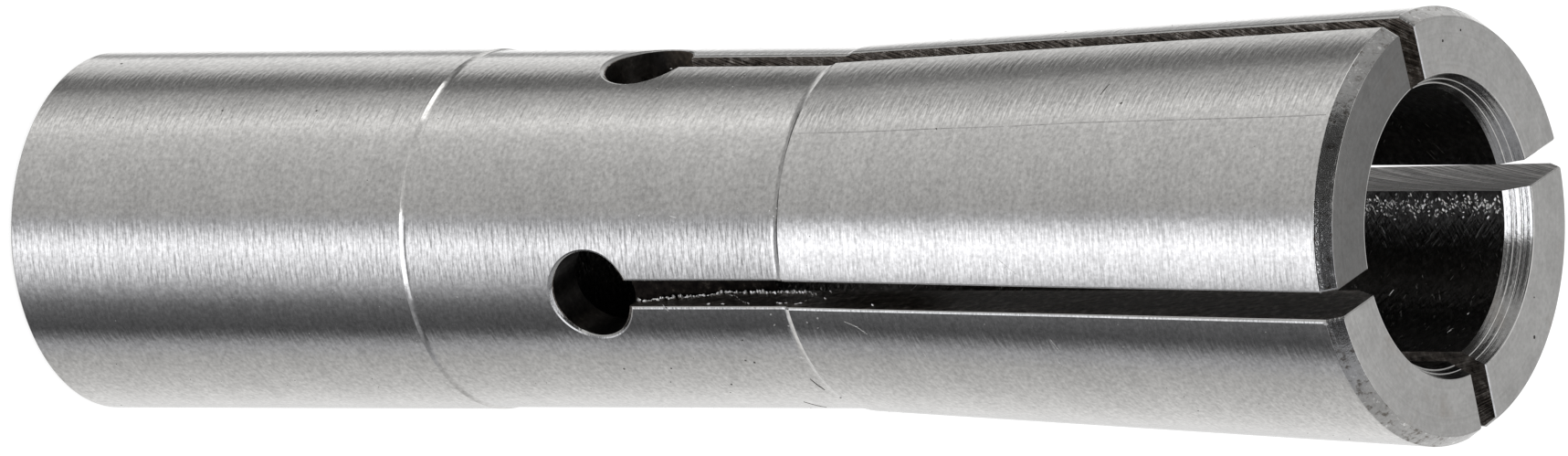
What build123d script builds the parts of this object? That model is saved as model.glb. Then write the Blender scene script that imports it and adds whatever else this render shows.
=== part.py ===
"""Spring collet made from one bar: a plain ground shank, a slimmer spring section
and a slim tapered head, split into four jaws by slots that start in round relief holes.

Units are millimetres. The axis is Z, the rear face lies on Z = 0 and the jaws point up.
"""
import os
from math import radians, sqrt, tan

from build123d import *

os.makedirs("parts", exist_ok=True)

# Lengths along the axis, from the rear face to the front face
bearing_length = 21.7
spring_length = 20.5
head_length = 29.8

# The ground bearing, the step down to the spring section and the step up to the head
bearing_diameter = 16.0
spring_step = 0.075
spring_step_length = 0.55
head_step = 0.125
head_step_length = 0.5

# The head widens by one part in so many, on diameter
taper_ratio = 10.0

# Breaks on the outside edges of the two ends
rear_break = 0.2
nose_length = 0.5
nose_depth = 0.3

# Gripping bore, as the wall it leaves inside the bearing, and its countersunk mouth
grip_wall = 2.0
mouth_width = 0.65
mouth_angle = 60.0

# Tapped hole for the draw bolt at the rear, on the bore's diameter and drawn as its core
thread_pitch = 1.5
thread_depth = 15.0
thread_mouth_width = 0.15
shoulder_angle = 118.0

# Relief holes, and the slots that a round saw cuts from the front face back into them
slot_count = 4
relief_hole_diameter = 4.0
relief_hole_setback = 10.6
slot_width = 1.2
saw_diameter = 63.0
saw_overcut = 0.1
slot_edge_break = 0.1

# Places that follow from the sizes above
spring_end = bearing_length + spring_length
overall_length = spring_end + head_length
spring_diameter = bearing_diameter - 2 * spring_step
head_start_diameter = spring_diameter + 2 * head_step
nose_start = overall_length - nose_length
nose_diameter = head_start_diameter + (nose_start - spring_end) / taper_ratio
grip_diameter = bearing_diameter - 2 * grip_wall
mouth_diameter = grip_diameter + 2 * mouth_width
mouth_depth = mouth_width / tan(radians(mouth_angle / 2))
thread_core_diameter = grip_diameter - thread_pitch
thread_mouth_diameter = grip_diameter + 2 * thread_mouth_width
thread_mouth_break = (thread_mouth_diameter - thread_core_diameter) / 2
shoulder_length = thread_pitch / 2 / tan(radians(shoulder_angle / 2))
relief_hole_height = spring_end - relief_hole_setback

# The saw stops where its rim leaves the spring section at the middle of the relief hole
slot_floor_radius = grip_diameter / 2 - saw_overcut
slot_depth = spring_diameter / 2 - slot_floor_radius
saw_stop_height = relief_hole_height + sqrt(slot_depth * (saw_diameter - slot_depth))


def turned_section():
    """Radius and height of each corner of the blank, up the outside and down the bore."""
    outside = [
        (bearing_diameter / 2 - rear_break, 0),
        (bearing_diameter / 2, rear_break),
        (bearing_diameter / 2, bearing_length),
        (spring_diameter / 2, bearing_length + spring_step_length),
        (spring_diameter / 2, spring_end - head_step_length),
        (head_start_diameter / 2, spring_end),
        (nose_diameter / 2, nose_start),
        (nose_diameter / 2 - nose_depth, overall_length),
    ]
    inside = [
        (mouth_diameter / 2, overall_length),
        (grip_diameter / 2, overall_length - mouth_depth),
        (grip_diameter / 2, thread_depth + shoulder_length),
        (thread_core_diameter / 2, thread_depth),
        (thread_core_diameter / 2, thread_mouth_break),
        (thread_mouth_diameter / 2, 0),
    ]
    return outside + inside


def crosses_turning(face):
    """True for a wall of a slot or of a relief hole, which cuts across the turned surfaces."""
    if face.geom_type == GeomType.PLANE:
        return abs(face.normal_at().Z) < 0.5
    return face.geom_type == GeomType.CYLINDER and abs(face.axis_of_rotation.direction.Z) < 0.5


def in_outside_surface(edge):
    """True for an edge that stays in the outside surface from end to end."""
    places = [edge.position_at(share) for share in (0, 0.5, 1)]
    return min(Vector(place.X, place.Y).length for place in places) > spring_diameter / 2 - slot_edge_break


# What one slot and its relief hole take away, on the side of +X
with BuildPart() as slot_cut:
    with BuildSketch(Plane.XZ):
        with Locations((slot_floor_radius + saw_diameter / 2, saw_stop_height)):
            Circle(saw_diameter / 2)
        with Locations((slot_floor_radius, saw_stop_height)):
            Rectangle(nose_diameter, overall_length, align=(Align.MIN, Align.MIN))
    extrude(amount=slot_width / 2, both=True)
    with BuildSketch(Plane.YZ):
        with Locations((0, relief_hole_height)):
            Circle(relief_hole_diameter / 2)
    extrude(amount=bearing_diameter)

with BuildPart() as collet:
    # The turned, bored and ground blank
    with BuildSketch(Plane.XZ):
        with BuildLine():
            Polyline(*turned_section(), close=True)
        make_face()
    revolve(axis=Axis.Z)

    with PolarLocations(0, slot_count):
        add(slot_cut.part, mode=Mode.SUBTRACT)

    # The deburred outside edges of the slots and relief holes
    cut_walls = collet.faces().filter_by(crosses_turning)
    chamfer(cut_walls.edges().filter_by(in_outside_surface), length=slot_edge_break)

collet.part.label = "collet"
export_step(collet.part, "parts/collet.step")
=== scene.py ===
"""Looks of the spring collet: the same form as the CAD solid with round edges, a real
thread, tool marks and wear, on a pale floor in a soft studio.

The collet is modelled in millimetres and scaled to metres once, at the end of each piece.
"""
from math import acos, cos, pi, radians, sin, sqrt, tan

import bmesh
import bpy
import numpy as np
from mathutils import Matrix, Quaternion, Vector


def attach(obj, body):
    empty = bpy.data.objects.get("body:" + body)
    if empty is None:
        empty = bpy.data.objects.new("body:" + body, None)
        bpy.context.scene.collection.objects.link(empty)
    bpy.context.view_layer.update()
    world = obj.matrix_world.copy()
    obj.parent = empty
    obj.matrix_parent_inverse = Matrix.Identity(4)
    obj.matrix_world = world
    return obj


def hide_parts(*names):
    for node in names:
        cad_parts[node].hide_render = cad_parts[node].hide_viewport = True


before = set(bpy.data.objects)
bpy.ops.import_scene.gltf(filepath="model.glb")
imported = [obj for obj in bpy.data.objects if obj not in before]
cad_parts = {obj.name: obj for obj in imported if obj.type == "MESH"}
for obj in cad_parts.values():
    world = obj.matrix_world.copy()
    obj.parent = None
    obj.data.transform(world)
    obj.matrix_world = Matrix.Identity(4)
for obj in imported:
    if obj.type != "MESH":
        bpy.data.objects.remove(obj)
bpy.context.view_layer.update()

MM = 0.001

# The turned form, radii and heights in millimetres, as the CAD solid has it. Only the nose
# chamfer is a little larger, as the photograph shows it.
BEARING_RADIUS = 8.0
BEARING_LENGTH = 21.7
SPRING_RADIUS = 7.925
SPRING_END = 42.2
HEAD_START_RADIUS = 8.05
NOSE_RADIUS = 9.505
NOSE_START = 71.3
NOSE_DEPTH = 0.43
LENGTH = 72.0
REAR_BREAK = 0.2
GRIP_RADIUS = 6.0
MOUTH_RADIUS = 6.65
MOUTH_DEPTH = 1.126
CORE_RADIUS = 5.25
CORE_DEPTH = 15.0
SHOULDER_LENGTH = 0.451
TAPER = (NOSE_RADIUS - HEAD_START_RADIUS) / (NOSE_START - SPRING_END)

# Hollows that the grinding wheel leaves at the two steps: a short ramp below the bearing, and
# the wheel's round corner below the head
BEARING_RAMP = 0.2
BEARING_HOLLOW = 0.6
WHEEL_CORNER = 1.0
WHEEL_REACH = sqrt(WHEEL_CORNER ** 2 - (WHEEL_CORNER - (HEAD_START_RADIUS - SPRING_RADIUS)) ** 2)
WHEEL_ARC_SHARE = 0.9

# Turned steps of the mouth: each one's share of its depth, and a narrow ledge above a steep cone
MOUTH_STEPS = (0.42, 0.26, 0.32)
MOUTH_FACET = radians(25)
LEDGE_DROP = 0.03
MOUTH_ROUNDING = 0.04

# Slots and relief holes
SLOT_TURNS = (-0.8, 90, 180.8, 270.8)
HOLE_TURNS = (-0.8, 90, 180.8, 271.3)
SLOT_HALF = 0.6
HOLE_RADIUS = 2.0
HOLE_HEIGHT = 31.6
SAW_RADIUS = 31.5
SAW_CENTRE = (37.4, 42.714)
SAW_ANGLE = radians(33)
HOLE_STEPS = 96

# Deburred edges: a steep cut this deep at the wall, whose top stands off the wall by the foot,
# and a worn slope from there out
EDGE_BREAK = 0.1
EDGE_FOOT = 0.04
EDGE_RISE = 0.07
WORN_ANGLE = radians(22)

# From this height up, the slots' edges are worn wider, by so much at the front face
WEAR_START = 57
WEAR_WIDTH = 0.04

# The rim of a relief hole lies a little off its hole, and is longer than wide on each side
HOLE_EDGE_SHIFT = (0.03, 0.01)
HOLE_EDGE_LONGER = 0.13
FACE_BREAK = 0.05

# The draw thread in the rear hole
PITCH = 1.5
THREAD_RADIUS = 6.02
THREAD_TOP = 14.2
THREAD_MOUTH = 6.15
THREAD_GAP = 0.02

# Flakes stand off the surface by this much. No dot but the bare corner lies this near to a
# slot, in degrees.
FLAKE_LIFT = 0.004
FLAKE_THICKNESS = 0.012
SLOT_BEARING = -21
SLOT_MARGIN = 7

# The photograph's camera: bearings are world angles about the collet's axis
CAMERA_BEARING = radians(-110.587)
CAMERA_ELEVATION = radians(35.32)
CAMERA_ROLL = radians(89.857)
CAMERA_DISTANCE = 0.93298
CAMERA_AIM = Vector((0, 0, 0.036863))
LENS = 486.53


# Materials

class Shader:
    """Short forms for building one node tree."""

    def __init__(self, tree):
        self.tree = tree
        tree.nodes.clear()

    def add(self, kind, **settings):
        node = self.tree.nodes.new(kind)
        for name, value in settings.items():
            setattr(node, name, value)
        return node

    def put(self, socket, value):
        if isinstance(value, bpy.types.NodeSocket):
            self.tree.links.new(value, socket)
        else:
            socket.default_value = value

    def math(self, operation, first, second=0.0):
        node = self.add("ShaderNodeMath", operation=operation)
        self.put(node.inputs[0], first)
        self.put(node.inputs[1], second)
        return node.outputs[0]

    def weighed(self, first, *others):
        """The sum of (value, weight) pairs."""
        total = self.math("MULTIPLY", *first)
        for value, weight in others:
            total = self.math("ADD", total, self.math("MULTIPLY", value, weight))
        return total

    def ramp(self, factor, stops):
        """A colour ramp; a stop is (position, grey) or (position, (red, green, blue))."""
        node = self.add("ShaderNodeValToRGB")
        ramp = node.color_ramp
        while len(ramp.elements) < len(stops):
            ramp.elements.new(0.5)
        for element, (position, _) in zip(ramp.elements, stops):
            element.position = position
        for element, (_, colour) in zip(ramp.elements, stops):
            rgb = colour if isinstance(colour, tuple) else (colour,) * 3
            element.color = (*rgb, 1)
        self.put(node.inputs[0], factor)
        return node.outputs[0]

    def noise(self, vector, scale=1.0, detail=2.0, roughness=0.5):
        node = self.add("ShaderNodeTexNoise")
        self.put(node.inputs["Vector"], vector)
        self.put(node.inputs["Scale"], scale)
        self.put(node.inputs["Detail"], detail)
        self.put(node.inputs["Roughness"], roughness)
        return node.outputs["Fac"]

    def stretched(self, vector, *scale):
        """The place with each axis scaled, here in cells per metre."""
        node = self.add("ShaderNodeMapping")
        self.put(node.inputs["Vector"], vector)
        node.inputs["Scale"].default_value = scale
        return node.outputs["Vector"]

    def place_parts(self, place):
        """The three coordinates of a place, each by itself."""
        node = self.add("ShaderNodeSeparateXYZ")
        self.put(node.inputs[0], place)
        return node.outputs

    def cells(self, first, first_scale, second, second_scale):
        """A place for a noise, from two lengths with so many cells per metre."""
        node = self.add("ShaderNodeCombineXYZ")
        self.put(node.inputs[0], self.math("MULTIPLY", first, first_scale))
        self.put(node.inputs[1], self.math("MULTIPLY", second, second_scale))
        return node.outputs[0]

    def mix(self, factor, first, second, blend="MIX"):
        node = self.add("ShaderNodeMix", data_type="RGBA", blend_type=blend)
        self.put(node.inputs["Factor"], factor)
        self.put(node.inputs[6], first)
        self.put(node.inputs[7], second)
        return node.outputs[2]

    def bump(self, height, distance, normal=None):
        """A bump of so many metres, on top of another where normal is given."""
        node = self.add("ShaderNodeBump")
        self.put(node.inputs["Height"], height)
        self.put(node.inputs["Distance"], distance)
        if normal is not None:
            self.put(node.inputs["Normal"], normal)
        return node.outputs["Normal"]

    def span(self, value, low, high, new_low=0.0, new_high=1.0):
        """Maps low to high onto new_low to new_high, held at both ends."""
        node = self.add("ShaderNodeMapRange")
        for socket, item in zip(node.inputs, (value, low, high, new_low, new_high)):
            self.put(socket, item)
        return node.outputs[0]


def metal(name, look, roughness, anisotropic=0.0):
    """A steel finish: look() gives its colour and its normal."""
    material = bpy.data.materials.new(name)
    material.use_nodes = True
    shader = Shader(material.node_tree)
    output = shader.add("ShaderNodeOutputMaterial")
    steel = shader.add("ShaderNodeBsdfPrincipled")
    shader.put(output.inputs["Surface"], steel.outputs[0])
    steel.inputs["Metallic"].default_value = 1.0
    steel.inputs["Roughness"].default_value = roughness
    steel.inputs["Anisotropic"].default_value = anisotropic
    place = shader.add("ShaderNodeTexCoord").outputs["Object"]
    colour, normal = look(shader, place)
    shader.put(steel.inputs["Base Color"], colour)
    shader.put(steel.inputs["Normal"], normal)
    if anisotropic:
        steel.inputs["Anisotropic Rotation"].default_value = 0.25
        tangent = shader.add("ShaderNodeTangent", direction_type="RADIAL", axis="Z")
        shader.put(steel.inputs["Tangent"], tangent.outputs[0])
    return material


def axial_radius(shader, place):
    """Distance from the collet's axis and height, in metres."""
    x, y, z = shader.place_parts(place)
    square = shader.math("ADD", shader.math("MULTIPLY", x, x), shader.math("MULTIPLY", y, y))
    return shader.math("SQRT", square), z


def ground_look(shader, place):
    """Cylindrical grinding: short marks and long faint lines round the axis, a fine speckle and
    cloudy bands."""
    x, y, z = shader.place_parts(place)
    # Negated, so that the arctangent's seam lies on +X, where the camera doesn't see it
    back = [shader.math("MULTIPLY", part, -1.0) for part in (y, x)]
    arc = shader.math("MULTIPLY", shader.math("ARCTAN2", *back), BEARING_RADIUS * MM)
    marks = shader.noise(shader.cells(arc, 1300.0, z, 4600.0), detail=1.5, roughness=0.55)
    lines = shader.noise(shader.cells(arc, 120.0, z, 4000.0), detail=2, roughness=0.6)
    speckle = shader.noise(place, scale=5200, detail=2, roughness=0.6)
    clouds = shader.noise(shader.stretched(place, 150, 150, 420), detail=4, roughness=0.65)
    tone = shader.weighed((speckle, 0.85), (marks, 0.15))
    colour = shader.ramp(tone, [
        (0.3, (0.47, 0.463, 0.451)), (0.5, (0.6, 0.591, 0.576)), (0.7, (0.73, 0.72, 0.702))])
    colour = shader.mix(1.0, colour, shader.span(clouds, 0.3, 0.7, 0.94, 1.06), "MULTIPLY")
    colour = shader.mix(1.0, colour, shader.span(lines, 0.3, 0.7, 0.96, 1.04), "MULTIPLY")
    normal = shader.bump(speckle, 0.000002)
    normal = shader.bump(marks, 0.000012, normal=normal)
    return colour, normal


def turned_look(shader, place):
    """Rings left by facing and chamfering, mottled, with a little brown where oil has dried."""
    radius, height = axial_radius(shader, place)
    grooves = shader.noise(shader.cells(radius, 7000.0, height, 7000.0), detail=2)
    grain = shader.noise(place, scale=4800, detail=3, roughness=0.6)
    mottle = shader.noise(place, scale=900, detail=3, roughness=0.6)
    stain = shader.noise(place, scale=420, detail=3, roughness=0.6)
    tone = shader.weighed((grooves, 0.25), (grain, 0.4), (mottle, 0.35))
    colour = shader.ramp(tone, [
        (0.3, (0.38, 0.374, 0.365)), (0.5, (0.5, 0.495, 0.485)), (0.7, (0.62, 0.615, 0.605))])
    brown = shader.span(stain, 0.6, 0.76, 0.0, 0.35)
    colour = shader.mix(brown, colour, (0.36, 0.29, 0.23, 1))
    normal = shader.bump(grain, 0.000006)
    normal = shader.bump(grooves, 0.00001, normal=normal)
    return colour, normal


def nose_look(shader, place):
    """The chamfer round the nose: turned rings, with the knocks and stains of use."""
    colour, normal = turned_look(shader, place)
    knocks = shader.noise(place, scale=2300, detail=4, roughness=0.7)
    colour = shader.mix(shader.span(knocks, 0.34, 0.46, 0.85, 0.0), colour, (0.14, 0.12, 0.1, 1))
    colour = shader.mix(shader.span(knocks, 0.6, 0.68, 0.0, 0.8), colour, (0.95, 0.94, 0.92, 1))
    return colour, shader.bump(knocks, 0.00002, normal=normal)


def face_look(shader, place):
    """The front face: as turned, but the jaw between the slots of -X and -Y is darker, a painted
    shade that stands in for that jaw's weaker reflection.
    """
    colour, normal = turned_look(shader, place)
    x, y, _ = shader.place_parts(place)
    # Painted shade: the jaw behind -X and -Y is coloured 0.36 of the turned look, the others 0.9
    behind_x = shader.math("LESS_THAN", x, 0.0)
    behind_y = shader.math("LESS_THAN", y, 0.0)
    painted_shade_jaw = shader.math("MULTIPLY", behind_x, behind_y)
    shade = shader.math("SUBTRACT", 0.9, shader.math("MULTIPLY", painted_shade_jaw, 0.54))
    return shader.mix(1.0, colour, shade, "MULTIPLY"), normal


def sawn_look(shader, place):
    """Slot walls: arcs left by the round saw, with pits, coloured far darker than steel as painted
    shade. The slot on +Y is clean, the others are browned by old oil, and the one on -X is made
    the lightest by painted light."""
    radius, height = axial_radius(shader, place)
    reach = shader.math("SUBTRACT", SAW_CENTRE[0] * MM, radius)
    drop = shader.math("SUBTRACT", (SAW_RADIUS * MM) ** 2, shader.math("MULTIPLY", reach, reach))
    feed = shader.math("ADD", height, shader.math("SQRT", drop))
    strokes = shader.noise(shader.cells(feed, 3600.0, radius, 300.0), detail=3, roughness=0.65)
    pits = shader.noise(place, scale=3000, detail=3, roughness=0.65)
    # Painted shade: the walls' colours are far darker than steel, for the shade inside the narrow
    # slots
    colour = shader.ramp(strokes, [
        (0.42, (0.03, 0.028, 0.026)), (0.5, (0.1, 0.098, 0.094)), (0.58, (0.32, 0.31, 0.3))])
    oil = shader.ramp(pits, [
        (0.35, (0.06, 0.05, 0.042)), (0.52, (0.14, 0.118, 0.1)), (0.66, (0.36, 0.33, 0.3))])
    x, y, _ = shader.place_parts(place)
    # Painted light: the oil on the slot of -X is made 1.7 times brighter
    oil = shader.mix(1.0, oil, shader.span(x, -0.0045, -0.005, 1.0, 1.7), "MULTIPLY")
    colour = shader.mix(shader.span(y, 0.005, 0.0045, 0.15, 0.75), colour, oil)
    colour = shader.mix(shader.span(pits, 0.3, 0.38, 0.85, 0.0), colour, (0.03, 0.025, 0.02, 1))
    normal = shader.bump(strokes, 0.0001)
    normal = shader.bump(pits, 0.00003, normal=normal)
    return colour, normal


def oxide_and_shade_look(shader, place):
    """The floor of a slot, burnt dark by the saw and by old oil, and painted near black as the
    shade deep in the narrow slot.
    """
    grain = shader.noise(place, scale=3000, detail=3, roughness=0.6)
    # Painted shade over burnt oxide: near-black colours for the slot's deep floor
    colour = shader.ramp(grain, [
        (0.35, (0.006, 0.005, 0.005)), (0.6, (0.018, 0.015, 0.013)), (0.8, (0.1, 0.085, 0.07))])
    return colour, shader.bump(grain, 0.00001)


def drilled_look(shader, place):
    """The wall of a relief hole: painted shade, near black, with faint drill marks. The hole on -X
    has brown oil and painted light, far brighter, on its front half."""
    marks = shader.noise(shader.stretched(place, 900, 900, 900), detail=3, roughness=0.6)
    grain = shader.noise(place, scale=4200, detail=2, roughness=0.6)
    tone = shader.weighed((marks, 0.4), (grain, 0.6))
    # Painted shade: the wall's colours are near black, for the shade inside the hole
    colour = shader.ramp(tone, [
        (0.35, (0.03, 0.028, 0.026)), (0.55, (0.065, 0.061, 0.057)), (0.7, (0.14, 0.13, 0.12))])
    # Painted light with brown oil: the front half of the hole on -X is made 9 to 12 times brighter
    # and browner
    x, _, z = shader.place_parts(place)
    on_x = shader.math("LESS_THAN", x, -0.005)
    oil_and_painted_light = shader.math("MULTIPLY", on_x, shader.span(z, 0.031, 0.0325))
    colour = shader.mix(oil_and_painted_light, colour, shader.mix(1.0, colour, (12.0, 10.8, 9.4, 1), "MULTIPLY"))
    return colour, shader.bump(grain, 0.00001)


def bored_look(shader, place):
    """The bore: painted near black as shade, with crossing scratches of bare metal that catch
    the light.
    """
    grain = shader.noise(place, scale=3800, detail=3, roughness=0.6)
    # Painted shade: near-black colours for the shade inside the bore; the scratches keep bare
    # steel's colour
    colour = shader.ramp(grain, [
        (0.3, (0.08, 0.077, 0.073)), (0.5, (0.12, 0.117, 0.112)), (0.7, (0.2, 0.196, 0.19))])
    normal = shader.bump(grain, 0.000008)
    for angle in (32, -38):
        cross = shader.add("ShaderNodeVectorRotate", rotation_type="Y_AXIS")
        shader.put(cross.inputs["Vector"], place)
        cross.inputs["Angle"].default_value = radians(angle)
        drawn_out = shader.stretched(cross.outputs[0], 700, 2500, 6000)
        scratches = shader.noise(drawn_out, detail=2, roughness=0.6)
        colour = shader.mix(shader.span(scratches, 0.68, 0.72), colour, (0.62, 0.61, 0.6, 1))
        normal = shader.bump(scratches, 0.00004, normal=normal)
    return colour, normal


def plain_look(scale, detail, dark, light):
    """A look of one fine grain between two colours."""
    def look(shader, place):
        grain = shader.noise(place, scale=scale, detail=detail)
        return shader.ramp(grain, [(0.35, dark), (0.65, light)]), shader.bump(grain, 0.00001)
    return look


# Bare metal in a fresh scratch or burr, dirt in a pit or an old scratch, and a line on the
# ground surface that the wheel has not quite cleaned
bright_look = plain_look(6000, 2, (0.7, 0.69, 0.67), (0.98, 0.97, 0.95))
pitted_look = plain_look(6000, 2, (0.07, 0.065, 0.06), (0.2, 0.19, 0.18))
dulled_look = plain_look(3000, 3, (0.36, 0.35, 0.34), (0.52, 0.51, 0.5))

FINISHES = {
    "ground": metal("collet_ground", ground_look, 0.13, anisotropic=0.5),
    "face": metal("collet_face", face_look, 0.3),
    "turned": metal("collet_turned", turned_look, 0.17),
    "nose": metal("collet_nose", nose_look, 0.17),
    # Painted shade: the bore, sawn, hole and slot floor finishes have near-black colours
    "bore": metal("collet_bore", bored_look, 0.3),
    "sawn": metal("collet_sawn", sawn_look, 0.34),
    "hole": metal("collet_hole", drilled_look, 0.4),
    "oxide_and_shade": metal("collet_oxide_and_shade", oxide_and_shade_look, 0.5),
    "bright": metal("collet_bright", bright_look, 0.4),
    "pitted": metal("collet_pitted", pitted_look, 0.5),
    "dulled": metal("collet_dulled", dulled_look, 0.25),
}
FINISH_NAMES = list(FINISHES)


# Geometry

def rounded(corners, arc_steps=4):
    """Round each corner (radius, height, rounding, finish) of a closed outline.

    Returns the points and, for each point, the finish of the stretch that starts there.
    """
    points = []
    finishes = []
    for index, (radius, height, rounding, finish) in enumerate(corners):
        here = np.array((radius, height))
        before = np.array(corners[index - 1][:2])
        after = np.array(corners[(index + 1) % len(corners)][:2])
        to_before = (before - here) / np.linalg.norm(before - here)
        to_after = (after - here) / np.linalg.norm(after - here)
        opening = np.arccos(np.clip(to_before @ to_after, -1, 1))
        if rounding == 0:
            points.append(here)
            finishes.append(finish)
            continue
        reach = rounding / tan(opening / 2)
        for step in range(arc_steps + 1):
            share = step / arc_steps
            rest = 1 - share
            start = here + to_before * reach
            end = here + to_after * reach
            points.append(rest ** 2 * start + 2 * share * rest * here + share ** 2 * end)
            finishes.append(finish if share >= 0.5 else corners[index - 1][3])
    return points, finishes


def mesh_piece(name, points, faces, finishes):
    """An object from points in millimetres; finishes names the finish of each face."""
    mesh = bpy.data.meshes.new(name)
    mesh.from_pydata([tuple(point) for point in points], [], faces)
    for finish in FINISH_NAMES:
        mesh.materials.append(FINISHES[finish])
    slots = [FINISH_NAMES.index(finish) for finish in finishes]
    mesh.polygons.foreach_set("material_index", slots)
    work = bmesh.new()
    work.from_mesh(mesh)
    bmesh.ops.recalc_face_normals(work, faces=work.faces)
    work.to_mesh(mesh)
    work.free()
    piece = bpy.data.objects.new(name, mesh)
    bpy.context.scene.collection.objects.link(piece)
    return piece


def lathe(name, corners, around):
    """Turn a closed outline about Z."""
    outline, finishes = rounded(corners)
    count = len(outline)
    # The first row is turned a little, so that no row of points lies in a slot's wall
    offset = 0.37
    points = []
    for step in range(around):
        angle = 2 * pi * (step + offset) / around
        points += [(radius * cos(angle), radius * sin(angle), z) for radius, z in outline]
    faces = []
    face_finishes = []
    for step in range(around):
        here = step * count
        there = (step + 1) % around * count
        for index in range(count):
            follow = (index + 1) % count
            faces.append((here + index, there + index, there + follow, here + follow))
            face_finishes.append(finishes[index])
    return mesh_piece(name, points, faces, face_finishes)


def loft(name, rings, finish, cap_finish="sawn"):
    """A closed skin through rings of as many points each, capped at both ends."""
    count = len(rings[0])
    points = [point for ring in rings for point in ring]
    faces = []
    for index in range(len(rings) - 1):
        for corner in range(count):
            follow = (corner + 1) % count
            faces.append((index * count + corner, index * count + follow,
                          (index + 1) * count + follow, (index + 1) * count + corner))
    skin = [finish] * len(faces)
    faces.append(tuple(range(count)))
    faces.append(tuple(range(len(points) - count, len(points))))
    return mesh_piece(name, points, faces, skin + [cap_finish] * 2)


def saw_blade():
    """The space that the round saw sweeps: along its rim at full depth, then out at the front."""
    centre, height = SAW_CENTRE
    steps = 40
    rim = []
    for step in range(steps + 1):
        angle = pi + SAW_ANGLE - SAW_ANGLE * step / steps
        rim.append((centre + SAW_RADIUS * cos(angle), height + SAW_RADIUS * sin(angle)))
    rim += [(rim[-1][0], LENGTH + 1), (rim[0][0], LENGTH + 1)]
    sides = [[(radius, side * SLOT_HALF, z) for radius, z in rim] for side in (-1, 1)]
    return loft("blade", sides, "oxide_and_shade")


def relief_hole():
    """The drilled hole that a slot ends in, through one wall."""
    rings = []
    for depth in (1.0, 12.0):
        rings.append([(depth, HOLE_RADIUS * cos(angle), HOLE_HEIGHT + HOLE_RADIUS * sin(angle))
                      for angle in np.linspace(0, 2 * pi, HOLE_STEPS, endpoint=False)])
    return loft("hole", rings, "hole")


def surface_radius(height):
    """Radius of the outside surface from the spring section to the front face."""
    if height < SPRING_END - WHEEL_REACH:
        return SPRING_RADIUS
    if height < SPRING_END:
        past_start = height - SPRING_END + WHEEL_REACH
        return SPRING_RADIUS + WHEEL_CORNER - sqrt(WHEEL_CORNER ** 2 - past_start ** 2)
    if height < NOSE_START:
        return HEAD_START_RADIUS + TAPER * (height - SPRING_END)
    return NOSE_RADIUS - NOSE_DEPTH * (height - NOSE_START) / (LENGTH - NOSE_START)


# How a deburred edge falls away: sideways from the wall and outward from the surface
WORN_EDGE = [(-0.05, -EDGE_BREAK - 0.02)]
WORN_EDGE += [(EDGE_FOOT + step, -EDGE_BREAK + EDGE_RISE + step * tan(WORN_ANGLE))
              for step in (0, 0.1, 0.2, 0.5)]


def slot_edge():
    """Cuts the deburred edges of a slot: a wedge that follows the outside surface and is worn a
    little wider toward the front."""
    step_up = np.linspace(SPRING_END - 0.5, SPRING_END, 6)
    rings = []
    for height in (HOLE_HEIGHT, 40, *step_up, WEAR_START, NOSE_START, LENGTH + 0.5):
        worn = WEAR_WIDTH * max(0, height - WEAR_START) / (LENGTH - WEAR_START)
        half = []
        for sideways, outward in WORN_EDGE:
            reach = SLOT_HALF + worn + sideways
            half.append((sqrt(surface_radius(height) ** 2 - reach ** 2) + outward, reach, height))
        rings.append(half + [(x, -y, z) for x, y, z in reversed(half)])
    return loft("slot_edge", rings, "turned")


def hole_edge():
    """Cuts the deburred rim of a relief hole, a funnel that follows the outside surface. It
    was made by hand and is a little longer than wide."""
    rings = []
    for sideways, outward in WORN_EDGE:
        ring = []
        for angle in np.linspace(0, 2 * pi, HOLE_STEPS, endpoint=False):
            reach = HOLE_RADIUS + sideways
            across = reach * cos(angle) + HOLE_EDGE_SHIFT[0]
            along = (reach + HOLE_EDGE_LONGER) * sin(angle) + HOLE_EDGE_SHIFT[1]
            surface = sqrt(SPRING_RADIUS ** 2 - across ** 2)
            ring.append((surface + outward, across, HOLE_HEIGHT + along))
        rings.append(ring)
    return loft("hole_edge", rings, "turned")


def face_edge():
    """Cuts the small breaks where a slot meets the front face."""
    rings = []
    inward = -0.04
    outward = 0.4
    for radius in (GRIP_RADIUS - 0.5, NOSE_RADIUS + 0.5):
        rings.append([
            (radius, side * (SLOT_HALF + sideways), LENGTH - FACE_BREAK + sideways)
            for side, sideways in ((-1, inward), (1, inward), (1, outward), (-1, outward))])
    return loft("face_edge", rings, "turned")


def facing(bearing):
    """The level direction at a bearing from the camera's side, in degrees."""
    angle = CAMERA_BEARING - radians(bearing)
    return Vector((cos(angle), sin(angle), 0))


def face_pit(radius, bearing, size):
    """Cuts one small pit in the front face."""
    middle = radius * facing(bearing)
    rings = []
    for above, share in ((-0.08, 0.3), (-0.03, 0.85), (0.05, 1.15)):
        reach = size / 2 * share
        rings.append([(middle.x + reach * cos(angle), middle.y + reach * sin(angle), LENGTH + above)
                      for angle in np.linspace(0, 2 * pi, 8, endpoint=False)])
    return loft("pit", rings, "pitted", "pitted")


def cut(piece, cutters):
    """Take the cutters away from a piece and delete them."""
    collection = bpy.data.collections.new("cutters")
    for cutter in cutters:
        collection.objects.link(cutter)
    modifier = piece.modifiers.new("cut", "BOOLEAN")
    modifier.operation = "DIFFERENCE"
    modifier.solver = "EXACT"
    modifier.operand_type = "COLLECTION"
    modifier.collection = collection
    modifier.material_mode = "INDEX"
    bake(piece)
    for cutter in cutters:
        bpy.data.objects.remove(cutter)
    bpy.data.collections.remove(collection)


def bake(piece):
    """Apply a piece's modifiers to its mesh."""
    bpy.context.view_layer.update()
    changed = piece.evaluated_get(bpy.context.evaluated_depsgraph_get())
    whole = bpy.data.meshes.new_from_object(changed)
    piece.modifiers.clear()
    piece.data = whole


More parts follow.
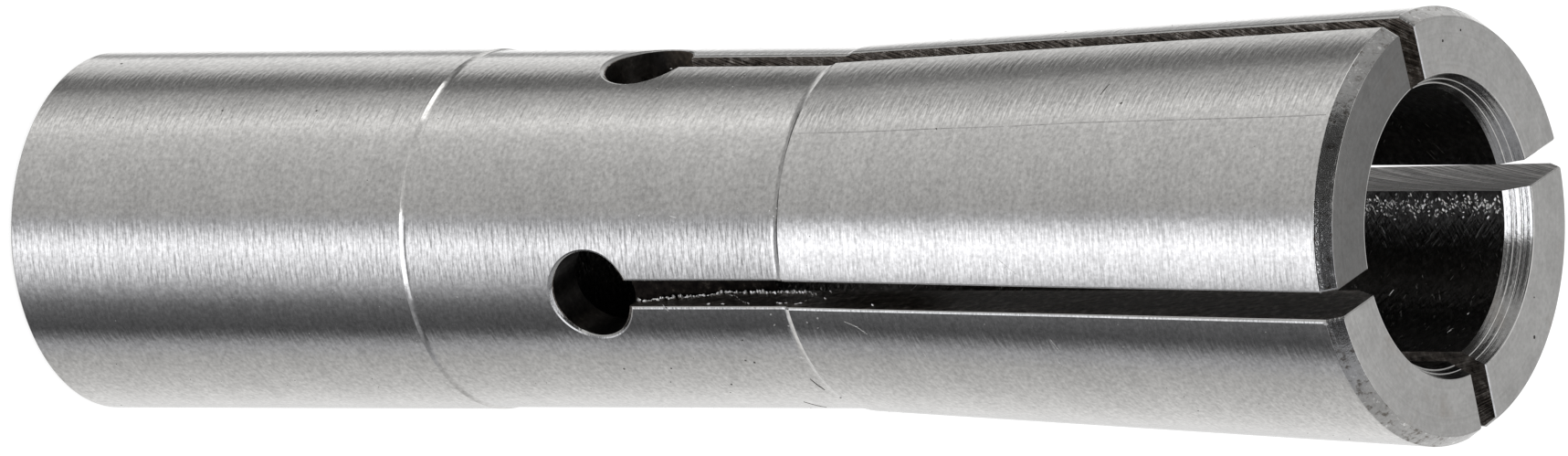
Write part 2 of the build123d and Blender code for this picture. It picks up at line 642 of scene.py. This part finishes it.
def thickened(piece):
    """Give flakes a thickness, so that each is closed and stands on the surface below it."""
    modifier = piece.modifiers.new("thickness", "SOLIDIFY")
    modifier.thickness = FLAKE_THICKNESS
    modifier.offset = 0
    bake(piece)
    return piece


def finish_mesh(piece, sharp=radians(14)):
    """Scale to metres, smooth all but the sharp edges, and ride the root body."""
    piece.data.transform(Matrix.Scale(MM, 4))
    work = bmesh.new()
    work.from_mesh(piece.data)
    bmesh.ops.remove_doubles(work, verts=work.verts, dist=1e-7)
    for face in work.faces:
        face.smooth = True
    for edge in work.edges:
        edge.smooth = edge.calc_face_angle(0) < sharp
    work.to_mesh(piece.data)
    work.free()
    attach(piece, "root")


def true_normals(piece):
    """Give the ground outside the normals of its true cylinders and cone, so that long facets
    cut by the slots and holes still shade evenly."""
    mesh = piece.data
    ground = FINISH_NAMES.index("ground")
    normals = [Vector(corner.vector) for corner in mesh.corner_normals]
    for face in mesh.polygons:
        if face.material_index != ground:
            continue
        heights = [mesh.vertices[index].co.z / MM for index in face.vertices]
        if max(heights) - min(heights) < 1:
            continue
        fall = -TAPER if min(heights) > SPRING_END - 1 else 0.0
        for loop in face.loop_indices:
            place = mesh.vertices[mesh.loops[loop].vertex_index].co
            normals[loop] = Vector((place.x, place.y, place.to_2d().length * fall)).normalized()
    mesh.normals_split_custom_set(normals)


def wheel_hollow():
    """Corners of the hollow that the wheel leaves between the spring section and the head."""
    full = acos(1 - (HEAD_START_RADIUS - SPRING_RADIUS) / WHEEL_CORNER)
    angles = full * np.linspace(0, WHEEL_ARC_SHARE, 9)
    return [(SPRING_RADIUS + WHEEL_CORNER * (1 - cos(angle)),
             SPRING_END - WHEEL_REACH + WHEEL_CORNER * sin(angle), 0, "ground") for angle in angles]


def countersink():
    """Corners of the mouth: turned steps, each a narrow ledge and a steep cone."""
    corners = []
    radius = MOUTH_RADIUS
    height = LENGTH
    for share in MOUTH_STEPS:
        drop = MOUTH_DEPTH * share
        run = (MOUTH_RADIUS - GRIP_RADIUS) * share
        ledge_end = radius - run + (1 - LEDGE_DROP) * drop * tan(MOUTH_FACET)
        corners.append((radius, height, 0 if corners else MOUTH_ROUNDING, "turned"))
        corners.append((ledge_end, height - LEDGE_DROP * drop, 0, "turned"))
        radius -= run
        height -= drop
    return corners


def collet_body():
    """The one solid of the object."""
    corners = [
        (BEARING_RADIUS - REAR_BREAK, 0, 0.04, "turned"),
        (BEARING_RADIUS, REAR_BREAK, 0.05, "ground"),
        (BEARING_RADIUS, BEARING_LENGTH, 0.03, "ground"),
        (SPRING_RADIUS, BEARING_LENGTH + BEARING_RAMP, BEARING_HOLLOW, "ground"),
        *wheel_hollow(),
        (HEAD_START_RADIUS, SPRING_END, 0.03, "ground"),
        (NOSE_RADIUS, NOSE_START, 0.1, "nose"),
        (NOSE_RADIUS - NOSE_DEPTH, LENGTH, 0.06, "face"),
        *countersink(),
        (GRIP_RADIUS, LENGTH - MOUTH_DEPTH, 0.04, "bore"),
        (GRIP_RADIUS, CORE_DEPTH + SHOULDER_LENGTH, 0, "bore"),
        (CORE_RADIUS, CORE_DEPTH, 0.04, "bore"),
        (CORE_RADIUS, THREAD_TOP, 0, "bore"),
        (THREAD_RADIUS, THREAD_TOP, 0, "bore"),
        (THREAD_RADIUS, THREAD_MOUTH - THREAD_RADIUS, 0, "turned"),
        (THREAD_MOUTH, 0, 0.03, "face"),
    ]
    body = lathe("collet_body", corners, 384)
    cutters = []
    slot_tools = (saw_blade, slot_edge, face_edge)
    hole_tools = (relief_hole, hole_edge)
    for turns, tools in ((SLOT_TURNS, slot_tools), (HOLE_TURNS, hole_tools)):
        for turn in turns:
            for tool in tools:
                cutter = tool()
                cutter.data.transform(Matrix.Rotation(radians(turn), 4, "Z"))
                cutters.append(cutter)
    # Radius, bearing and size of each pit
    for pit in ((8.18, 216, 0.18), (8.5, 96, 0.12), (8.0, 86.4, 0.14), (7.3, 205, 0.09)):
        cutters.append(face_pit(*pit))
    cut(body, cutters)
    finish_mesh(body)
    true_normals(body)
    return body


def draw_thread():
    """The tapped thread's flanks inside the rear hole, a thin sleeve that fills the bored wall."""
    around = 96
    along = 150
    crest = 1 / 16
    slope = 5 / 16
    depth = THREAD_RADIUS - CORE_RADIUS - THREAD_GAP
    heights = np.linspace(THREAD_MOUTH - THREAD_RADIUS, THREAD_TOP, along + 1)
    points = []
    for z in heights:
        for step in range(around):
            angle = 2 * pi * step / around
            phase = (z / PITCH - step / around) % 1.0
            flank = min(max((abs(phase - 0.5) - crest) / slope, 0.0), 1.0)
            radius = max(CORE_RADIUS + depth * (1 - flank), THREAD_MOUTH - z)
            points.append((radius * cos(angle), radius * sin(angle), z))
    for z in (heights[-1], heights[0]):
        for step in range(around):
            angle = 2 * pi * step / around
            points.append((THREAD_RADIUS * cos(angle), THREAD_RADIUS * sin(angle), z))
    faces = []
    for ring in range(along + 3):
        here = ring * around
        there = (ring + 1) % (along + 3) * around
        for step in range(around):
            follow = (step + 1) % around
            faces.append((here + step, here + follow, there + follow, there + step))
    thread = mesh_piece("draw_thread", points, faces, ["bore"] * len(faces))
    finish_mesh(thread, sharp=radians(40))


def stroke(places, width, rng):
    """Points and faces of a thin ribbon along places, each a point and the surface's normal."""
    points = []
    for index, (here, outward) in enumerate(places):
        before = places[max(index - 1, 0)][0]
        after = places[min(index + 1, len(places) - 1)][0]
        across = (after - before).cross(outward).normalized()
        ends = min(index, len(places) - 1 - index) == 0
        half = width * (0.15 if ends else rng.uniform(0.3, 0.6))
        lifted = here + outward * FLAKE_LIFT
        points += [lifted + across * half, lifted - across * half]
    faces = [(first, first + 1, first + 3, first + 2) for first in range(0, len(points) - 2, 2)]
    return points, faces


def outside(height, bearing):
    """A point of the outside surface and its direction from the axis, by height and by bearing
    from the camera's side."""
    outward = facing(bearing)
    radius = BEARING_RADIUS if height < BEARING_LENGTH else surface_radius(height)
    return outward * radius + Vector((0, 0, height)), outward


def by_slot(height, bearing):
    """True beside a slot or a relief hole, where a flake would hang over the edge."""
    from_slot = (bearing - SLOT_BEARING + 45) % 90 - 45
    return height > HOLE_HEIGHT - 3 and abs(from_slot) < SLOT_MARGIN


def surface_marks():
    """Scratches, nicks and pits on the outside, as thin flakes that lie on it."""
    rng = np.random.RandomState(11)
    # Finish, width, and the places passed, each a height and a bearing
    strokes = [
        ("bright", 0.05, [(35.44, -24.8), (35.64, -27.3)]),
        ("bright", 0.04, [(56.0, -39.9), (56.1, -44.0)]),
        ("bright", 0.04, [(48.78, -40.5), (48.82, -42.2)]),
        ("bright", 0.05, [(54.21, -8.9), (54.75, -11.8), (55.11, -13.4)]),
        ("bright", 0.09, [(41.51, -45.3), (41.87, -45.8)]),
        ("bright", 0.05, [(36.32, 4.0), (36.72, 3.2)]),
        ("bright", 0.04, [(15.75, 33.8), (15.97, 41.5)]),
        ("bright", 0.03, [(45.08, -29.8), (45.69, -31.6), (46.14, -34.2)]),
        ("bright", 0.03, [(56.11, -33.7), (56.36, -37.5)]),
        ("pitted", 0.07, [(41.35, -56.4), (41.54, -63.4)]),
        ("dulled", 0.05, [(10.53, 39.5), (10.46, 43.0)]),
        ("pitted", 0.04, [(39.44, -74.1), (39.8, -83.2)]),
        ("pitted", 0.04, [(58.42, 40.1), (58.61, 44.2)]),
        ("dulled", 0.05, [(42.5, 30.7), (45.9, 30.4), (50.1, 30.5), (53.8, 30.4)]),
        ("dulled", 0.05, [(54.0, 30.4), (57.8, 30.7), (63.7, 30.4), (68.6, 30.15), (71.1, 30.3)]),
    ]
    # Finish, size, and place as height and bearing
    dots = [("pitted", 0.13, place) for place in (
        (39.02, -38.2), (39.02, -47.9), (38.61, -46.9), (36.84, -59.9), (31.75, -51.2),
        (34.32, -50.9), (41.84, -69.6), (59.76, 36.8), (50.15, 30.5), (10.49, 41.3),
        (15.73, 41.0), (2.54, 68.4))]
    dots += [("bright", 0.1, place) for place in (
        (41.85, -32.6), (41.08, -28.5), (41.09, -32.3), (43.01, -30.6), (43.67, -29.0),
        (43.51, -32.5), (41.94, 3.6), (41.7, 5.4), (42.12, 6.1), (15.74, 33.1), (34.7, 4.1),
        (36.91, -3.8), (59.95, -35.3))]
    bare_corner = ("bright", 0.22, (71.3, -25.9))
    dots.append(bare_corner)
    for finish, count in (("bright", 260), ("pitted", 160)):
        for _ in range(count):
            size = 0.05 * rng.uniform(0.6, 1.4)
            dots.append((finish, size, (rng.uniform(1, 71), rng.uniform(-180, 180))))
    points = []
    faces = []
    finishes = []

    def gather(finish, new_points, new_faces):
        faces.extend(tuple(len(points) + corner for corner in face) for face in new_faces)
        points.extend(new_points)
        finishes.extend([finish] * len(new_faces))

    for finish, width, ends in strokes:
        places = []
        for (height, bearing), (next_height, next_bearing) in zip(ends, ends[1:]):
            rise = next_height - height
            swing = next_bearing - bearing
            steps = max(int(sqrt(rise ** 2 + (radians(swing) * SPRING_RADIUS) ** 2) / 0.12), 3)
            for step in range(steps):
                share = step / steps
                places.append(outside(height + rise * share, bearing + swing * share))
        places.append(outside(*ends[-1]))
        gather(finish, *stroke(places, width, rng))
    for dot in dots:
        finish, size, place = dot
        if dot is not bare_corner and by_slot(*place):
            continue
        here, outward = outside(*place)
        side = outward.cross(Vector((0, 0, 1)))
        ring = []
        for corner in range(6):
            angle = pi / 3 * corner
            reach = size / 2 * rng.uniform(0.5, 1.1)
            ring.append(here + outward * FLAKE_LIFT + side * (reach * cos(angle))
                        + Vector((0, 0, reach * sin(angle))))
        gather(finish, ring, [tuple(range(6))])
    finish_mesh(thickened(mesh_piece("surface_marks", points, faces, finishes)))


def bore_scratches():
    """Crossing scratches in the bore, their lips turned up so that they glint. Most lie in one
    narrow band opposite the camera, and a few stray beside it."""
    rng = np.random.RandomState(3)
    in_band = 340
    strays = 12
    points = []
    faces = []
    for index in range(in_band + strays):
        band = index < in_band
        bearing = min(max(rng.normal(171.6, 2.4), 166.5), 177) if band else rng.uniform(168, 250)
        height = rng.uniform(61, 70.7)
        outward = facing(bearing)
        side = Vector((-outward.y, outward.x, 0))
        lean = radians(rng.choice((22, -26)) + rng.uniform(-7, 7))
        along = side * cos(lean) + Vector((0, 0, sin(lean)))
        tilt = radians(rng.uniform(48, 62))
        across = (outward * sin(tilt) + Vector((0, 0, cos(tilt)))).normalized()
        length = rng.uniform(0.05, 0.22) if band else rng.uniform(0.1, 0.4)
        half = rng.uniform(0.01, 0.07) if band else rng.uniform(0.004, 0.012)
        centre = outward * (GRIP_RADIUS - 0.03) + Vector((0, 0, height))
        first = len(points)
        points += [centre - along * length / 2, centre - across * half,
                   centre + along * length / 2, centre + across * half]
        faces.append(tuple(range(first, first + 4)))
    lips = mesh_piece("bore_scratches", points, faces, ["bright"] * len(faces))
    finish_mesh(thickened(lips))


def slot_burr():
    """Ragged burrs and flecks that the saw left on the walls of the slots."""
    rng = np.random.RandomState(5)
    # Places in SLOT_TURNS of the slot nearest the camera, and of the one with the most flecks
    near = 3
    flecked = 2
    points = []
    faces = []

    def crumb(centre, along, size, length, slot):
        """One crumb of torn metal: a crooked bead drawn out along the wall of a slot, given by
        its place in SLOT_TURNS."""
        sides = 5
        first = len(points)
        spin = Matrix.Rotation(radians(SLOT_TURNS[slot]), 3, "Z")
        for share in (-0.5, -0.15, 0.2, 0.5):
            thick = size * (0.35 if abs(share) == 0.5 else rng.uniform(0.7, 1.3))
            middle = centre + along * (length * share)
            for corner in range(sides):
                angle = 2 * pi * corner / sides + rng.uniform(-0.3, 0.3)
                away = Vector((thick * cos(angle), thick * sin(angle) * 1.5,
                               thick * sin(angle + 1) * 0.5))
                points.append(spin @ (middle + away))
        for ring in range(3):
            for corner in range(sides):
                follow = (corner + 1) % sides
                here = first + ring * sides
                faces.append((here + corner, here + follow,
                              here + sides + follow, here + sides + corner))
        faces.append(tuple(range(first, first + sides)))
        faces.append(tuple(range(first + 3 * sides, first + 4 * sides)))

    def wall(height, radius):
        """A place just off the wall of +Y of a slot on +X."""
        return Vector((radius, SLOT_HALF - 0.05, height))

    def line(places, size, gap, slot):
        """Crumbs along a line of heights and radii, left out at this share of its steps."""
        for place, next_place in zip(places, places[1:]):
            start = wall(*place)
            span = wall(*next_place) - start
            count = max(int(span.length / 0.13), 1)
            for step in range(count):
                if rng.uniform() > gap:
                    centre = start + span * ((step + rng.uniform(0.2, 0.8)) / count)
                    centre += Vector((0, rng.uniform(-0.05, 0.03), rng.uniform(-0.08, 0.08)))
                    thick = size * rng.uniform(0.5, 1.3)
                    crumb(centre, span.normalized(), thick, rng.uniform(0.1, 0.2), slot)

    floor_line = [
        (33.56, 7.37), (33.81, 7.37), (34.64, 7.14), (35.48, 6.92), (36.95, 6.69), (37.56, 6.38),
        (39.04, 6.36), (40.47, 6.3), (42.41, 6.36), (42.71, 6.58)]
    for places, size, gap in (
            (floor_line, 0.06, 0.2),
            (floor_line, 0.04, 0.4),
            ([(42.71, 6.58), (42.73, 7.48), (42.03, 7.8)], 0.02, 0.3),
            ([(38.2, 6.6), (39.0, 7.1), (39.76, 7.7)], 0.025, 0.2),
            ([(37.2, 7.66), (38.6, 7.7)], 0.025, 0.6),
            ([(41.2, 7.6), (42.0, 7.55)], 0.025, 0.5)):
        line(places, size, gap, near)
    slanting = Vector((0, 0.3, 1)).normalized()
    for place in (
            (42.6, 5.9), (43.54, 7.03), (46.58, 7.81), (39.8, 7.6), (43.3, 6.2), (36.2, 6.0)):
        crumb(wall(*place), slanting, 0.035, 0.12, near)
    for slot in (0, 1, 2):
        line(floor_line, 0.03, 0.45, slot)
    for _ in range(160):
        height = rng.uniform(33, 70)
        place = wall(height, surface_radius(height) - rng.uniform(0.15, 0.8))
        size = rng.uniform(0.015, 0.035)
        crumb(place, Vector((0, 0, 1)), size, rng.uniform(0.05, 0.25), flecked)
    finish_mesh(mesh_piece("slot_burr", points, faces, ["bright"] * len(faces)))


body = collet_body()
draw_thread()
surface_marks()
bore_scratches()
slot_burr()
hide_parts("collet")


# Studio

def studio_floor():
    """A pale floor under the rear face. Where the camera sees it bare it is white, and the
    object's shadow stays on it."""
    size = 3.0
    floor_mesh = bpy.data.meshes.new("floor")
    corners = [(-size, -size, 0), (size, -size, 0), (size, size, 0), (-size, size, 0)]
    floor_mesh.from_pydata(corners, [], [(0, 1, 2, 3)])
    piece = bpy.data.objects.new("floor", floor_mesh)
    bpy.context.scene.collection.objects.link(piece)
    material = bpy.data.materials.new("floor")
    material.use_nodes = True
    shader = Shader(material.node_tree)
    output = shader.add("ShaderNodeOutputMaterial")
    paper = shader.add("ShaderNodeBsdfDiffuse")
    paper.inputs["Color"].default_value = (0.3, 0.3, 0.3, 1)
    glow = shader.add("ShaderNodeEmission")
    glow.inputs["Color"].default_value = (0.82, 0.82, 0.82, 1)
    rays = shader.add("ShaderNodeLightPath")
    seen = shader.math("MAXIMUM", rays.outputs["Is Camera Ray"], rays.outputs["Is Glossy Ray"])
    seen = shader.math("MAXIMUM", seen, rays.outputs["Is Transmission Ray"])
    shader.put(glow.inputs["Strength"], seen)
    both = shader.add("ShaderNodeAddShader")
    shader.put(both.inputs[0], paper.outputs[0])
    shader.put(both.inputs[1], glow.outputs[0])
    shader.put(output.inputs["Surface"], both.outputs[0])
    floor_mesh.materials.append(material)
    piece.visible_glossy = False


def studio_world():
    """White all round for the camera and for plain light. Reflections see the same white
    studio with its flags and its tall soft box, by bearing about the collet's axis."""
    # The walls at several elevations, each as pairs of bearing from the camera's side and level
    low = [
        (-180, 0.95), (-165, 0.82), (-150, 0.95), (-135, 0.905), (-120, 0.78), (-90, 0.565),
        (-80, 0.485), (-73, 0.21), (-68, 0.09), (-56, 0.118), (-48, 0.186), (-41, 0.406),
        (-30, 0.87), (-18, 1.47), (-12, 1.75), (-6, 1.33), (5, 0.55), (12, 0.52), (40, 0.611),
        (60, 0.796), (72, 1.14), (84, 0.76), (97, 0.436), (104, 0.18), (114, 0.173), (126, 0.78),
        (138, 0.95), (145, 1.12), (151, 0.29), (158, 0.56), (166, 1.2), (180, 1.13)]
    lower = [
        (-180, 0.95), (-165, 0.85), (-150, 0.865), (-135, 0.88), (-120, 0.773), (-90, 0.54),
        (-80, 0.42), (-73, 0.17), (-68, 0.096), (-56, 0.18), (-48, 0.245), (-41, 0.42),
        (-30, 0.92), (-18, 1.0), (-12, 1.22), (-6, 1.06), (5, 0.57), (12, 0.52), (40, 0.67),
        (60, 0.695), (72, 0.74), (84, 0.465), (97, 0.43), (104, 0.3), (114, 0.39), (126, 0.74),
        (138, 0.955), (145, 0.92), (151, 0.36), (158, 0.52), (166, 1.02), (180, 1.13)]
    shoulder = [
        (-180, 0.9), (-90, 0.55), (-72, 0.25), (-45, 0.3), (-31, 1.7), (3, 1.5), (9, 0.55),
        (60, 0.75), (66, 0.8), (70, 1.9), (93, 1.9), (97, 0.4), (118, 0.3), (128, 0.7),
        (145, 0.9), (180, 0.9)]
    middle = [
        (-180, 0.85), (-130, 0.8), (-105, 0.55), (-85, 0.45), (-60, 0.38), (-36, 0.35),
        (-31, 2.2), (9, 2.2), (14, 0.82), (46, 0.82), (52, 0.45), (100, 0.45), (150, 0.7),
        (180, 0.85)]
    inner = [
        (-180, 0.85), (-130, 0.8), (-105, 0.55), (-85, 0.45), (-60, 0.38), (-36, 0.35),
        (-31, 2.8), (5, 2.8), (10, 0.08), (46, 0.1), (60, 0.45), (100, 0.45), (150, 0.7),
        (180, 0.85)]
    high = [
        (-180, 0.64), (-140, 0.66), (-110, 0.6), (-72, 0.45), (-60, 0.06), (58, 0.06), (67, 0.42),
        (100, 0.45), (140, 0.5), (180, 0.64)]
    deep = [
        (-180, 0.2), (-168, 0.25), (-156, 0.9), (-90, 0.9), (-60, 0.42), (105, 0.42), (115, 0.08),
        (150, 0.08), (180, 0.2)]
    world = bpy.data.worlds.new("studio")
    bpy.context.scene.world = world
    world.cycles.sampling_method = "NONE"
    world.use_nodes = True
    shader = Shader(world.node_tree)
    output = shader.add("ShaderNodeOutputWorld")
    rays = shader.add("ShaderNodeLightPath")
    place = shader.add("ShaderNodeTexCoord").outputs["Generated"]
    turned = shader.add("ShaderNodeVectorRotate", rotation_type="Z_AXIS")
    shader.put(turned.inputs["Vector"], place)
    turned.inputs["Angle"].default_value = -CAMERA_BEARING
    x, y, z = shader.place_parts(turned.outputs[0])
    bearing = shader.math("ARCTAN2", y, x)
    share = shader.math("SUBTRACT", 0.5, shader.math("DIVIDE", bearing, 2 * pi))
    elevation = shader.math("MULTIPLY", shader.math("ARCSINE", z), 180 / pi)

    def ring(walls):
        """The studio's walls at one elevation, as levels by bearing from the camera's side."""
        brightest = max(level for _, level in walls)
        stops = [(0.5 + angle / 360, level / brightest) for angle, level in walls]
        return shader.math("MULTIPLY", shader.ramp(share, stops), brightest)

    def blend(factor, first, second):
        node = shader.add("ShaderNodeMix", data_type="FLOAT")
        for index, item in ((0, factor), (2, first), (3, second)):
            shader.put(node.inputs[index], item)
        return node.outputs[0]

    # The soft box hangs low and grows brighter toward its lower end
    box = ring([(-42, 0.0), (-28, 1.0), (0, 1.0), (8, 0.0)])
    fade = blend(box, 1.0, shader.span(elevation, -47.75, -27.75, 1.95, 0.15))
    walls = blend(shader.span(elevation, -41.5, -36), ring(lower), ring(low))
    level = blend(shader.span(elevation, -82, -78), 0.06, ring(deep))
    level = blend(shader.span(elevation, -60, -52), level, shader.math("MULTIPLY", walls, fade))
    for upper, start, end in (
            (ring(shoulder), -22, -12), (ring(middle), -3, 2), (ring(inner), 8, 11),
            (ring(high), 16, 18), (1.1, 42, 46)):
        level = blend(shader.span(elevation, start, end), level, upper)

    # Daylight tints the soft box and the flag beside it
    daylight = ring([(-92, 0.0), (-82, 1.0), (4, 1.0), (11, 0.0)])
    tint = shader.mix(daylight, (1, 1, 1, 1), (0.985, 1.0, 1.05, 1))
    reflected = shader.math("MAXIMUM", rays.outputs["Is Glossy Ray"],
                            rays.outputs["Is Transmission Ray"])
    light = shader.add("ShaderNodeBackground")
    shader.put(light.inputs["Color"], shader.mix(reflected, (1, 1, 1, 1), tint))
    shader.put(light.inputs["Strength"], blend(reflected, 1.0, level))
    shader.put(output.inputs["Surface"], light.outputs[0])


def studio_camera():
    """The photograph's own view, a long lens that sees the collet lying with its jaws right."""
    data = bpy.data.cameras.new("camera")
    data.sensor_fit = "HORIZONTAL"
    data.sensor_width = 36
    data.lens = LENS
    data.clip_start = 0.05
    data.clip_end = 20
    level = cos(CAMERA_ELEVATION)
    toward = Vector((level * cos(CAMERA_BEARING), level * sin(CAMERA_BEARING),
                     sin(CAMERA_ELEVATION)))
    camera = bpy.data.objects.new("camera", data)
    camera.location = CAMERA_AIM + toward * CAMERA_DISTANCE
    camera.rotation_mode = "QUATERNION"
    roll = Quaternion((0, 0, 1), CAMERA_ROLL)
    camera.rotation_quaternion = (-toward).to_track_quat("-Z", "Y") @ roll
    bpy.context.scene.collection.objects.link(camera)
    bpy.context.scene.camera = camera


studio_floor()
studio_world()
studio_camera()
bpy.context.scene.view_settings.view_transform = "Standard"
